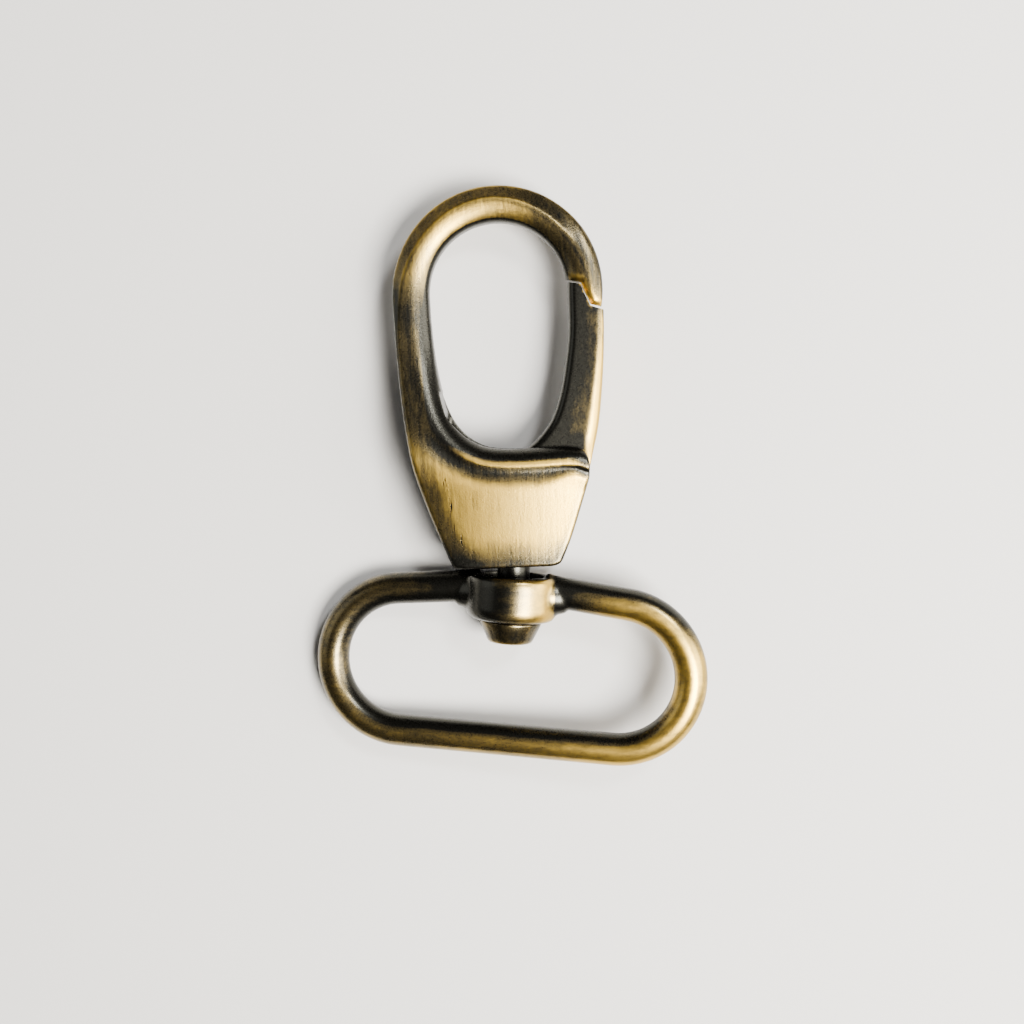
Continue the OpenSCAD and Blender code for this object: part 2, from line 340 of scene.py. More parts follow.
def weather(piece, wear_and_light, rounds=40):
    """Stores where the piece stands proud, and its wear-and-light tone: how open it is to the
    polishing wheel, with painted highlights and shade on some pieces.
    """
    store(piece, "relief", relief(piece, rounds))
    p, n = points_of(piece), normals_of(piece)
    store(piece, "wear_and_light", wear_and_light(p[:, 0], p[:, 1], p[:, 2], n[:, 0], n[:, 1], n[:, 2]))


def finish_piece(piece, body, node, material, place=Matrix.Identity(4)):
    """Scales a piece to metres, puts it in place, and ties it to its body and material. A piece
    with no body is left unattached."""
    piece.data.materials.clear()
    piece.data.materials.append(material)
    pick(piece)
    bpy.ops.object.shade_smooth_by_angle(angle=CREASE)
    piece.data.transform(Matrix.Scale(1 / MM, 4) @ place)
    piece.data.update()
    if body:
        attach(piece, body)
    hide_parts(node)
    deselect()


# --- materials -------------------------------------------------------------------------------

class Nodes:
    """Shorthand for building a node tree."""

    def __init__(self, tree):
        self.tree = tree

    def add(self, kind, inputs=(), **settings):
        node = self.tree.nodes.new(kind)
        for name, value in settings.items():
            setattr(node, name, value)
        for name, value in dict(inputs).items():
            self.set(node.inputs[name], value)
        return node

    def set(self, socket, value):
        if isinstance(value, bpy.types.NodeSocket):
            self.tree.links.new(value, socket)
        else:
            socket.default_value = value

    def math(self, operation, a, b, clamp=False):
        node = self.add("ShaderNodeMath", {0: a, 1: b}, operation=operation, use_clamp=clamp)
        return node.outputs[0]

    def plus(self, a, b, clamp=False):
        return self.math("ADD", a, b, clamp)

    def minus(self, a, b):
        return self.math("SUBTRACT", a, b)

    def times(self, a, b):
        return self.math("MULTIPLY", a, b)

    def ramp(self, value, low, high):
        """0 below low, 1 above high, smooth between."""
        node = self.add("ShaderNodeMapRange", {"Value": value, "From Min": low, "From Max": high},
                        interpolation_type="SMOOTHSTEP")
        return node.outputs["Result"]

    def mix(self, factor, a, b):
        node = self.add("ShaderNodeMix", data_type="RGBA")
        self.set(node.inputs[0], factor)
        self.set(node.inputs[6], a)
        self.set(node.inputs[7], b)
        return node.outputs[2]

    def noise(self, vector, scale, detail=3.0, roughness=0.55):
        node = self.add("ShaderNodeTexNoise", {"Vector": vector, "Scale": scale, "Detail": detail,
                                               "Roughness": roughness})
        return node.outputs[0]

    def place_in_mm(self, scale=(1, 1, 1)):
        """The object's own coordinates in millimetres, squeezed by scale."""
        place = self.add("ShaderNodeTexCoord").outputs["Object"]
        return self.add("ShaderNodeMapping", {"Vector": place,
                                              "Scale": tuple(MM * s for s in scale)}).outputs[0]


def new_group(name, inputs, outputs):
    """A node group with sockets given as (kind, name)."""
    group = bpy.data.node_groups.new(name, "ShaderNodeTree")
    for way, sockets in (("INPUT", inputs), ("OUTPUT", outputs)):
        for kind, socket in sockets:
            group.interface.new_socket(socket, in_out=way, socket_type="NodeSocket" + kind)
    nodes = Nodes(group)
    return group, nodes, nodes.add("NodeGroupInput").outputs, nodes.add("NodeGroupOutput").inputs


def brushed_grain():
    """Fine brush lines along one axis, in millimetre coordinates."""
    group, n, given, out = new_group("Brushed grain", [("Vector", "Along"), ("Float", "Fineness")],
                                     [("Float", "Lines"), ("Float", "Scratches")])
    fine = n.noise(given["Along"], given["Fineness"], 4.0, 0.65)
    coarse = n.noise(given["Along"], n.times(given["Fineness"], 0.28), 2.0)
    n.set(out["Lines"], n.plus(n.times(fine, 0.6), n.times(coarse, 0.4)))
    deep = n.noise(given["Along"], n.times(given["Fineness"], 1.6), 2.0)
    n.set(out["Scratches"], n.ramp(deep, 0.57, 0.66))
    return group


def antique_plate():
    """Brass plate, oxidised black and brushed back where the wheel reaches, with painted
    highlights and shade brought in by the wear-and-light input.
    """
    group, n, given, out = new_group(
        "Antique plate",
        [("Color", "Brass"), ("Color", "Tarnish"), ("Color", "Patina"), ("Vector", "Position"),
         ("Float", "Wear and light"), ("Float", "Relief"), ("Float", "Lines"), ("Float", "Scratches"),
         ("Float", "Polish"), ("Float", "Mottle"), ("Float", "Brushing")],
        [("Color", "Colour"), ("Float", "Roughness"), ("Float", "Height")])
    clouds = n.noise(given["Position"], 0.45, 5.0)
    specks = n.noise(given["Position"], 4.5, 4.0, 0.7)
    blotch = n.plus(n.times(clouds, 0.55), n.times(specks, 0.45))
    blotch = n.times(n.minus(blotch, 0.5), given["Mottle"])
    # how much the wheel took off, plus painted light and shade: the film shows from about 0.15,
    # bare brass from about 0.5
    reach = n.plus(given["Wear and light"], n.times(given["Relief"], 2.2))
    reach = n.plus(n.plus(reach, blotch), given["Polish"])
    reach = n.plus(reach, n.times(n.minus(given["Lines"], 0.5), 0.9))
    unmarked = n.minus(1.0, n.times(given["Scratches"], 0.9))
    film = n.times(n.ramp(reach, 0.15, 0.6), unmarked)
    bright = n.times(n.ramp(reach, 0.5, 1.15), unmarked)
    oxide = n.mix(film, given["Patina"], given["Tarnish"])
    n.set(out["Colour"], n.mix(bright, oxide, given["Brass"]))
    rough = n.plus(0.26, n.times(bright, given["Brushing"]))
    rough = n.plus(rough, n.times(n.minus(specks, 0.5), 0.15))
    n.set(out["Roughness"], n.plus(rough, n.times(given["Lines"], 0.05), clamp=True))
    height = n.plus(n.times(given["Lines"], 0.5), n.times(specks, 0.5))
    n.set(out["Height"], n.minus(height, n.times(given["Scratches"], 0.1)))
    return group


def group_named(name, build):
    return bpy.data.node_groups.get(name) or build()


def new_metal(name):
    material = bpy.data.materials.new(name)
    material.use_nodes = True
    shader = material.node_tree.nodes["Principled BSDF"]
    shader.inputs["Metallic"].default_value = 1.0
    return material, Nodes(material.node_tree), shader


def plated(name, grain_scale, fineness, mottle, bump, polish=0.0, brushing=0.05):
    """A cast piece's material: grain_scale squeezes the pattern, so its lines run along the
    axis with the smallest number. Bump is in millimetres."""
    finish = bpy.context.scene.snap_hook_finish
    material, n, shader = new_metal(name)
    grain = n.add("ShaderNodeGroup", node_tree=group_named("Brushed grain", brushed_grain))
    n.set(grain.inputs["Along"], n.place_in_mm(grain_scale))
    n.set(grain.inputs["Fineness"], fineness)
    stored = {key: n.add("ShaderNodeAttribute", attribute_name=key).outputs["Fac"]
              for key in ("wear_and_light", "relief", "scuffed")}
    coat = n.add("ShaderNodeGroup", node_tree=group_named("Antique plate", antique_plate))
    settings = {
        "Brass": (*finish.brass, 1.0), "Tarnish": (*finish.tarnish, 1.0),
        "Patina": (*finish.patina, 1.0), "Position": n.place_in_mm(),
        "Wear and light": stored["wear_and_light"], "Relief": stored["relief"], "Lines": grain.outputs["Lines"],
        "Scratches": n.times(grain.outputs["Scratches"], stored["scuffed"]),
        "Polish": polish, "Mottle": mottle, "Brushing": brushing}
    for socket, value in settings.items():
        n.set(coat.inputs[socket], value)
    bumps = n.add("ShaderNodeBump", {"Height": coat.outputs["Height"], "Strength": 0.6,
                                     "Distance": bump / MM})
    n.set(shader.inputs["Base Color"], coat.outputs["Colour"])
    n.set(shader.inputs["Roughness"], coat.outputs["Roughness"])
    n.set(shader.inputs["Normal"], bumps.outputs["Normal"])
    return material


def steel(name, roughness, grain_scale):
    """Bare steel with fine drawing lines."""
    material, n, shader = new_metal(name)
    grain = n.add("ShaderNodeGroup", node_tree=group_named("Brushed grain", brushed_grain))
    n.set(grain.inputs["Along"], n.place_in_mm(grain_scale))
    n.set(grain.inputs["Fineness"], 3.0)
    lines = grain.outputs["Lines"]
    bright = bpy.context.scene.snap_hook_finish.steel
    dark = tuple(0.55 * c for c in bright)
    n.set(shader.inputs["Base Color"], n.mix(lines, (*dark, 1.0), (*bright, 1.0)))
    n.set(shader.inputs["Roughness"], n.plus(roughness, n.times(lines, 0.15)))
    bumps = n.add("ShaderNodeBump", {"Height": lines, "Strength": 0.3, "Distance": 0.01 / MM})
    n.set(shader.inputs["Normal"], bumps.outputs["Normal"])
    return material


# --- hook body -------------------------------------------------------------------------------

EYE = (-0.2, 25.6)                              # centre of the round eye
LIP_Y = 7.7                                     # top edge of the base's lip
LIP_ROLL = 2.05                                 # from the lip's edge to its crest
BASE_HALF = 4.4                                 # half the thickness of the base
BOTTOM_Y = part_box("hook_body")[0].y * MM
FOOT_Y = BOTTOM_Y + 0.13                        # the foot's edge, once it is rounded
NOSE_STEP = [(7.45, 26.52), (9.35, 26.08), (9.6, 25.3), (10.1, 24.2), (10.35, 23.6), (11.9, 23.1)]
SCUFFS = [(-6.9, 4.4), (-6.2, 1.0), (-5.6, -2.0), (-5.2, -4.8)]     # down the base's left side
SLOT_HALF = 2.4
SLOT_FLOOR_Y = -3.4
SLOT_OUTLINE = through(
    [(-7.35, 14.5), (-7.0, 12.9), (-6.75, 11.9), (-6.9, 10.4), (-7.4, 7.5), (-7.4, 5.0),
     (-6.6, 0.5), (-5.4, -3.0), (-5.0, SLOT_FLOOR_Y), (5.0, SLOT_FLOOR_Y), (5.6, -2.6),
     (6.3, -1.3), (7.5, 1.6), (8.2, 4.5)], 3)
SLOT_OUTLINE += [(8.3, 4.7), (13, 4.7), (13, 16), (-2, 16), (-4, 14.5)]     # open to the gate


class BodyShape:
    """Front view of the casting and the height of its surface."""

    def __init__(self, sizes):
        inner = sizes.eye_radius * MM
        outer = inner + sizes.eye_bar * MM
        self.thin = sizes.eye_thickness * MM / 2
        self.foot = [(-5.75, FOOT_Y)] + through(
            [(4.9, FOOT_Y), (5.65, -5.65), (6.1, -5.05), (7.25, -2.4), (8.4, 0.9), (9.4, 3.9)], 4)
        self.corner = through(
            [(9.4, 3.9), (9.52, 5.3), (9.3, 6.5), (8.6, 7.35), (7.0, LIP_Y)], 4)[:-1]
        self.eye = through(
            [(7.0, LIP_Y), (4.0, LIP_Y), (0.7, LIP_Y), (-2.0, 8.0), (-3.6, 8.7), (-5.0, 9.85),
             (-6.2, 11.6), (-7.0, 14.0), (-7.6, 17.5), (-7.95, 21.5),
             (EYE[0] - inner, EYE[1] - 1.0)], 4)[:-1] + arc(EYE, inner, 180, -4, 42)
        # the lip's edge runs on past the corner, so that its roll leaves the base straight
        self.inside = [(13.0, 5.4), (10.5, 6.75), (8.6, 7.5)] + self.eye
        self.outside = arc(EYE, outer, -13, 180, 50) + through(
            [(EYE[0] - outer, EYE[1] - 1.0), (-12.1, 20.0), (-11.75, 14.5), (-11.15, 9.5),
             (-10.45, 5.5), (-9.35, 1.7), (-8.0, -2.0), (-6.75, -5.2), (-6.35, -5.75),
             (-5.75, FOOT_Y)], 4)

    def outline(self):
        return self.foot[:-1] + self.corner + self.eye + self.outside[:-1]

    def ridge(self, x, y):
        """Width of the flat bevel along the outer edge, up to its ridge."""
        return 0.4 + 1.15 * smoothstep(19.0, 33.5, y) + 0.35 * smoothstep(-1.0, 7.0, x) * (y > 10)

    def valley(self, from_lip, x, y):
        """Hollow in front of the lip's crest, 0 to 1, narrower towards the gate."""
        t = np.clip((from_lip - LIP_ROLL) / (2.9 - 1.5 * smoothstep(3.0, 8.5, x)), 0, 1)
        return np.sin(math.pi * t ** 0.6) ** 2 * (1 - smoothstep(6.5, 10.5, y))

    def front(self, x, y):
        """A crowned base with a rolled lip, a tapered spine, and an eye with a bevelled rim."""
        height = self.thin + (BASE_HALF - self.thin) * (1 - smoothstep(4.0, 20.5, y))
        base = 1 - smoothstep(2.0, 8.0, y)
        droop = 1 - np.clip((y - BOTTOM_Y) / 10.5, 0, 1) ** 2
        height -= base * (0.75 * (x / 9) ** 2 + 0.55 * droop)
        ring = smoothstep(12.0, 22.0, y)
        from_inside = distance_to(self.inside, x, y)
        height -= (2.0 - 0.55 * ring) * rolled(from_inside, LIP_ROLL + 0.45 * ring)
        height -= 0.26 * self.valley(from_inside, x, y)
        rim = distance_to(self.outside, x, y)
        bevel = (0.3 + 0.75 * smoothstep(22.0, 33.0, y)) * bevelled(rim, self.ridge(x, y))
        nose = smoothstep(7.0, 10.0, x) * (y > 10)
        height -= bevel * (1 - nose) + 0.8 * nose * rolled(rim, 1.7)
        height -= 0.35 * rolled(distance_to(self.foot, x, y), 0.4)
        height -= 0.9 * rolled(distance_to(NOSE_STEP, x, y), 0.75) * (y > 20)
        return np.maximum(height, 0.3)

    def back(self, x, y):
        """Flat behind the base, rounded more behind the eye."""
        height = self.thin + (BASE_HALF - self.thin) * (1 - smoothstep(4.0, 22.0, y))
        edge = distance_to(self.outline(), x, y, closed=True)
        return height * (1 - rolled(edge, 0.5 + 1.3 * smoothstep(12.0, 22.0, y), 2.4))

    def wear_and_light(self, x, y, z, nx, ny, nz):
        """Open to the wheel: the base's front and the lip's crest most, then the eye's crown, the
        spine least; shut off: the lip's roll, the inner sides and the slot.
        Light and shade are painted in as well: painted highlights on the lip's crest, the nose's
        end and the top of the eye, and painted shade over the spine, along the foot, towards the
        base's bottom and along its left edge."""
        from_inside = distance_to(self.inside, x, y)
        from_outside = distance_to(self.outside, x, y)
        spine_tarnish_and_shade = smoothstep(4.0, 12.0, y) * (1 - smoothstep(22.0, 29.0, y)) * (x < 0)
        nose_end = distance_to(NOSE_STEP, x, y)
        # tarnish and painted shade darken the spine
        tone = 1.05 - 0.76 * spine_tarnish_and_shade - 0.36 * smoothstep(20.0, 27.0, y)
        tone -= 0.3 * smoothstep(1.5, 5.5, x) * smoothstep(22.0, 26.0, y)
        ridge_line = from_outside / self.ridge(x, y)
        # the bevel is darker all round, with a painted reflection lightening it at the top of the
        # eye
        tone += (0.2 * smoothstep(28.0, 34.0, y) - 0.22) * (1 - smoothstep(0.8, 1.0, ridge_line))
        tone -= 0.25 * np.exp(-((ridge_line - 1.22) / 0.12) ** 2) * smoothstep(20.0, 26.0, y)
        shade = 2.5 - 1.1 * smoothstep(8.0, 19.0, y) - 1.0 * smoothstep(20.0, 27.0, y)
        tone -= 1.2 * (1 - smoothstep(0.6, 1.1, from_inside / shade))
        # painted highlight along the lip's crest, where it is also worn bare
        crest_wear_and_highlight = np.exp(-((from_inside - 1.75) / 0.4) ** 2)
        tone += 1.1 * crest_wear_and_highlight * (1 - smoothstep(6.5, 9.5, y)) * (1 - smoothstep(7.0, 9.5, x))
        tone -= 0.7 * self.valley(from_inside, x, y)
        # painted shade along the foot's rounded edge and towards the base's bottom
        tone -= 0.5 * (1 - smoothstep(0.2, 1.5, distance_to(self.foot, x, y)))
        tone -= 0.52 * (1 - smoothstep(-5.4, -1.6, y))
        # painted highlight on the eye's face just inside the ridge, at its top
        tone += 0.2 * smoothstep(30.0, 33.0, y) * smoothstep(0.9, 1.2, ridge_line)
        # painted shade towards the base's left edge
        tone -= 0.5 * (1 - smoothstep(0.6, 3.6, from_outside)) * (1 - smoothstep(3.0, 9.0, y))
        # painted highlight on the nose's rounded end
        tone += 0.35 * (1 - smoothstep(0.4, 1.1, nose_end)) * (nz > 0.3)
        tone -= 1.2 * (nose_end < 0.15) * (nz < 0.3)
        side = 1 - np.abs(nz)
        wall = np.minimum(from_outside, from_inside)
        hidden = (np.abs(z - MID_Z) < SLOT_HALF + 0.1) & (wall > 0.35) & (y < 14.6)
        return np.where(hidden, -0.2, tone - 0.55 * side)


class SNAPHOOK_OT_add_body(bpy.types.Operator):
    """Model the hook's casting: hollow base, spine, round eye and nose"""
    bl_idname = "snaphook.add_body"
    bl_label = "Add Hook Body"

    def execute(self, context):
        shape = BodyShape(context.scene.snap_hook_sizes)
        piece = plate("hook_casting", shape.outline(), MID_Z - BASE_HALF, MID_Z + BASE_HALF)
        knead(piece, grain=0.2, softness=0)
        press(piece, shape.front, shape.back)
        cut(piece,
            plate("slot_cutter", SLOT_OUTLINE, MID_Z - SLOT_HALF, MID_Z + SLOT_HALF),
            rod("clench_room", 3.2, (PIVOT.x, SLOT_FLOOR_Y, MID_Z), (PIVOT.x, 0.0, MID_Z)),
            rod("post_bore", 2.07, (PIVOT.x, BOTTOM_Y - 1, MID_Z), (PIVOT.x, -3.0, MID_Z)),
            rod_at_pin("pin_hole", 0.8, -1.0, 7.5))
        knead(piece, grain=0.16, softness=3)
        cut(piece, self.nose_cutter())
        weather(piece, shape.wear_and_light)
        x, y, z = points_of(piece).T
        marks = 1 - smoothstep(0.12, 0.75, distance_to(SCUFFS, x, y))
        store(piece, "scuffed", marks * (z > MID_Z + 3) + 0.1)
        material = plated("Antique brass, base", (1.0, 0.07, 1.0), fineness=2.9, mottle=0.5,
                          bump=0.07, brushing=0.09)
        finish_piece(piece, "hook", "hook_body", material)
        return {"FINISHED"}

    def nose_cutter(self):
        """Cuts the nose's step, which falls a little towards the front."""
        cutter = plate("nose_cutter", NOSE_STEP + [(14, 19), (6.5, 19)], MID_Z - 6, MID_Z + 6)
        p = points_of(cutter)
        p[:, 1] -= 0.09 * (p[:, 2] - MID_Z - 2.2)
        place_points(cutter, p)
        return cutter


# --- gate ------------------------------------------------------------------------------------

FIXED_LEG, MOVING_LEG = 259, 82                 # headings of the spring's legs, in degrees
COIL_RADIUS = 1.35
POCKET_RADIUS = 1.82                            # of the room for the coil
POCKET = (MID_Z - 1.05, MID_Z + 1.05)


class GateShape:
    """Front view of the gate and the height of its surface."""

    def __init__(self, sizes):
        self.half = sizes.gate_thickness * MM / 2
        self.outside = through(
            [(9.5, 5.0), (10.05, 7.2), (10.45, 8.7), (10.85, 10.7), (11.2, 13.4), (11.5, 16.4),
             (11.72, 20.0), (11.82, 24.0)], 4)
        self.inside = through(
            [(7.78, 27.0), (7.72, 24.5), (7.62, 20.5), (7.05, 16.6), (6.4, 13.6), (5.35, 10.8),
             (3.8, 8.8), (2.45, 7.6), (2.0, 6.4), (1.95, 4.4)], 4)
        self.root = arc((PIN.x, PIN.y), 2.5, 172, 360, 24) + [(7.7, 3.6), (8.1, 5.0)]

    def outline(self):
        return self.outside + [(11.82, 27.0)] + self.inside + self.root

    def face(self, x, y):
        """A flat face, rolled off towards the eye and, more gently, along the outer edge."""
        arm = smoothstep(5.5, 8.5, y)
        height = np.full(len(x), self.half)
        height -= (0.15 + 1.15 * arm) * rolled(distance_to(self.inside, x, y), 0.3 + 0.65 * arm)
        wide = 0.3 + arm * (1.05 - 0.5 * smoothstep(9.0, 21.0, y))
        drop = 0.15 + 0.75 * arm * (1 - 0.5 * smoothstep(12.0, 22.0, y))
        height -= drop * rolled(distance_to(self.outside, x, y), wide)
        return height

    def wear_and_light(self, x, y, z, nx, ny, nz):
        """Open to the wheel: the outer edge most, the face a little; shut off: the side
        towards the eye, the tongue, and the root."""
        wide = 1.0 - 0.45 * smoothstep(9.0, 21.0, y)
        outer = 1 - smoothstep(0.45, 1.9, distance_to(self.outside, x, y) / wide)
        band = 1 - smoothstep(0.5, 1.25, distance_to(self.inside, x, y))
        tongue = smoothstep(22.6, 24.0, y + 0.55 * (x - 10))
        root = 1 - smoothstep(6.6, 9.6, y - 0.25 * (x - 8))
        worn = 0.85 - 0.4 * smoothstep(12.0, 21.0, y)
        face = 0.06 + 0.2 * smoothstep(0.8, 3.2, distance_to(self.inside, x, y))
        tone = face + worn * outer - 0.6 * band - 0.5 * tongue - 0.9 * root * (1 - outer)
        return tone - 0.25 * (1 - np.abs(nz)) * (nx < 0)


class SNAPHOOK_OT_add_gate(bpy.types.Operator):
    """Model the gate: arm, stepped tongue and forked root"""
    bl_idname = "snaphook.add_gate"
    bl_label = "Add Gate"

    def execute(self, context):
        shape = GateShape(context.scene.snap_hook_sizes)
        piece = plate("gate_casting", shape.outline(), MID_Z - shape.half, MID_Z + shape.half)
        knead(piece, grain=0.13, softness=0)
        press(piece, shape.face, shape.face)
        cut(piece,
            rod_at_pin("pin_bore", 0.85, 0, 9),
            rod_at_pin("coil_pocket", POCKET_RADIUS, *POCKET),
            plate("leg_sweep", self.leg_sweep(), *POCKET),
            plate("leg_groove", self.leg_groove(), *POCKET))
        knead(piece, grain=0.12, softness=2)
        gap = [(x - 0.05, y - 0.22) for x, y in NOSE_STEP]
        cut(piece, plate("nose_clearance", gap + [(13, 30), (6.5, 30)], MID_Z - 6, MID_Z + 6))
        weather(piece, shape.wear_and_light)
        material = plated("Antique brass, gate", (1.0, 0.35, 1.0), fineness=2.2, mottle=0.55,
                          bump=0.03)
        finish_piece(piece, "gate", "gate", material)
        return {"FINISHED"}

    def leg_sweep(self):
        """Outline of the room for the fixed leg as the gate swings."""
        centre = PIN.to_2d()
        edge = centre + heading(FIXED_LEG + 90, POCKET_RADIUS)
        far = heading(FIXED_LEG + 4, 6), heading(FIXED_LEG - 34, 6)
        return [centre, edge, edge + far[0], centre + far[1]]

    def leg_groove(self):
        """Outline of the groove that the moving leg lies in."""
        start = PIN.to_2d() + heading(MOVING_LEG - 90, COIL_RADIUS)
        along, across = heading(MOVING_LEG, 3.9), heading(MOVING_LEG - 90, 0.5)
        return [start + across, start + along + across, start + along - across, start - across]


# --- pin and spring --------------------------------------------------------------------------

COIL_TURNS = 3
COIL_STEPS = 120                                # points along the coil


class SNAPHOOK_OT_add_pin(bpy.types.Operator):
    """Model the hinge pin, with chamfered ends"""
    bl_idname = "snaphook.add_pin"
    bl_label = "Add Gate Pin"

    def execute(self, context):
        low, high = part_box("gate_pin")
        piece = rod_at_pin("hinge_pin", (high.x - low.x) * MM / 2, low.z * MM, high.z * MM)
        chamfer(piece, 0.15, segments=3, above=60)
        material = steel("Ground steel", roughness=0.3, grain_scale=(1, 1, 0.1))
        finish_piece(piece, "hook", "gate_pin", material)
        return {"FINISHED"}


class SNAPHOOK_OT_add_spring(bpy.types.Operator):
    """Wind the torsion spring: a coil on the pin, a leg on the body and a leg on the gate"""
    bl_idname = "snaphook.add_spring"
    bl_label = "Add Gate Spring"

    def execute(self, context):
        wire = context.scene.snap_hook_sizes.wire * MM
        path = self.path(wire)
        deselect()
        bpy.ops.curve.primitive_nurbs_path_add()
        piece = bpy.context.active_object
        piece.name = "torsion_spring"
        curve = piece.data
        curve.splines.clear()
        spline = curve.splines.new("POLY")
        spline.points.add(len(path) - 1)
        for point, place in zip(spline.points, path):
            point.co = (*place, 1.0)
        curve.bevel_depth = wire / 2
        curve.bevel_resolution = 3
        curve.use_fill_caps = True
        bpy.ops.object.convert(target="MESH")
        recalculate(piece)
        material = steel("Spring wire", roughness=0.22, grain_scale=(1, 1, 1))
        finish_piece(piece, None, "gate_spring", material)
        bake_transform(piece)
        return {"FINISHED"}

    def path(self, wire):
        """The wire's middle line: in along the fixed leg, around the coil, out along the other."""
        leg_a, leg_b = math.radians(FIXED_LEG), math.radians(MOVING_LEG)
        start, end = leg_a + math.pi / 2, leg_b - math.pi / 2
        sweep = math.tau * COIL_TURNS + (end - start) % math.tau
        pitch = wire * 1.12
        rise = pitch * sweep / math.tau / 2

        def around(angle, z):
            return Vector((PIN.x + COIL_RADIUS * math.cos(angle),
                           PIN.y + COIL_RADIUS * math.sin(angle), z))

        fixed, moving = heading(FIXED_LEG, 4.3).to_3d(), heading(MOVING_LEG, 3.4).to_3d()
        path = [around(start, MID_Z - rise) + fixed * s for s in (1, 0.6, 0.3)]
        path += [around(start + sweep * i / COIL_STEPS, MID_Z - rise + 2 * rise * i / COIL_STEPS)
                 for i in range(COIL_STEPS + 1)]
        path += [around(end, MID_Z + rise) + moving * s for s in (0.3, 0.6, 1)]
        return path


# --- swivel post -----------------------------------------------------------------------------

def leaning(roll=0.0):
    """The matrix that leans a piece with the post, after rolling it about the post."""
    turn = Matrix.Rotation(-LEAN, 4, "Z") @ Matrix.Rotation(-roll, 4, "Y")
    return Matrix.Translation(PIVOT) @ turn @ Matrix.Translation((0, -PIVOT.y, -PIVOT.z))


def post_exposed(x, y, z, nx, ny, nz):
    """Open to the wheel: the head, its end most; shut off: the rest."""
    head = smoothstep(-12.2, -12.4, y)
    return head * (0.58 + 0.1 * np.clip(-ny, 0, 1)) - 0.3


class SNAPHOOK_OT_add_post(bpy.types.Operator):
    """Turn the swivel post: clenched end, shank and tapered head"""
    bl_idname = "snaphook.add_post"
    bl_label = "Add Swivel Post"

    def execute(self, context):
        clench, seat, tip = -3.05, -12.36, -14.96
        shank = 1.9
        profile = [(0, clench + 1.25), (1.3, clench + 1.3), (2.2, clench + 1.15),
                   (2.7, clench + 0.7), (2.8, clench + 0.35), (2.75, clench), (shank, clench),
                   (shank, -8.4), (shank, seat), (3.4, seat), (3.57, seat - 0.1),
                   (3.52, seat - 0.4), (3.2, seat - 1.1), (2.85, seat - 1.85), (2.72, tip + 0.4),
                   (2.5, tip + 0.12), (2.1, tip), (0, tip)]
        piece = turned("post_rivet", profile)
        chamfer(piece, 0.06, segments=2, above=40)
        weather(piece, post_exposed, rounds=4)
        material = plated("Dark rivet", (1.0, 0.3, 1.0), fineness=2.0, mottle=0.5, bump=0.02,
                          polish=-0.05)
        finish_piece(piece, "post", "swivel_post", material, leaning())
        return {"FINISHED"}


# --- strap loop ------------------------------------------------------------------------------

SLOPE = math.radians(6)                         # fall of the upper bars from the collar
ROLL = math.radians(6.6)                        # of the loop about the post, left end down
BARS_MEET_Y = -8.1
COLLAR_TOP_Y = -7.0
COLLAR_BOTTOM_Y = -12.3


def loop_wear_and_light(x, y, z, nx, ny, nz):
    """Open to the wheel: front and back; shut off: the cup and the bars' roots. Light and shade
    are painted in: the bars lighter towards the right and darker towards the left, painted shade
    with some patina on the bars' sides towards the hook, and a painted highlight on the collar's
    right side with painted shade on its left."""
    from_post = np.hypot(x, z - MID_Z)
    by_collar = (1 - smoothstep(5.2, 12.5, np.abs(x))) * smoothstep(-15.0, -11.5, y)
    upper_left = smoothstep(-1.0, -6.0, x) * smoothstep(-19.0, -13.0, y)
    # painted light and shade: the bars lighter towards the right and darker towards the left
    bar = 0.5 + 0.3 * smoothstep(3.0, 14.0, x) + 0.1 * smoothstep(-20.0, -25.0, y)
    bar -= 0.16 * smoothstep(-2.0, -9.0, x)
    # painted shade, with some patina: the bars' sides towards the hook darkened
    bar -= 0.8 * smoothstep(0.15, 0.7, ny) * (1 - 0.75 * upper_left)
    bar -= 0.35 * upper_left * smoothstep(0.0, 0.7, -ny) + 0.12 * np.abs(nx) + 0.6 * by_collar
    # painted highlight on the collar's right side and painted shade on its left
    ring = 0.22 + 0.85 * nx - 0.3 * np.clip(np.abs(ny) - 0.3, 0, 1)
    cup = (y > -8.7) & (from_post < 4.35)
    return np.where(cup, -0.4, np.where((np.abs(x) < 5.2) & (y > -12.6), ring, bar))


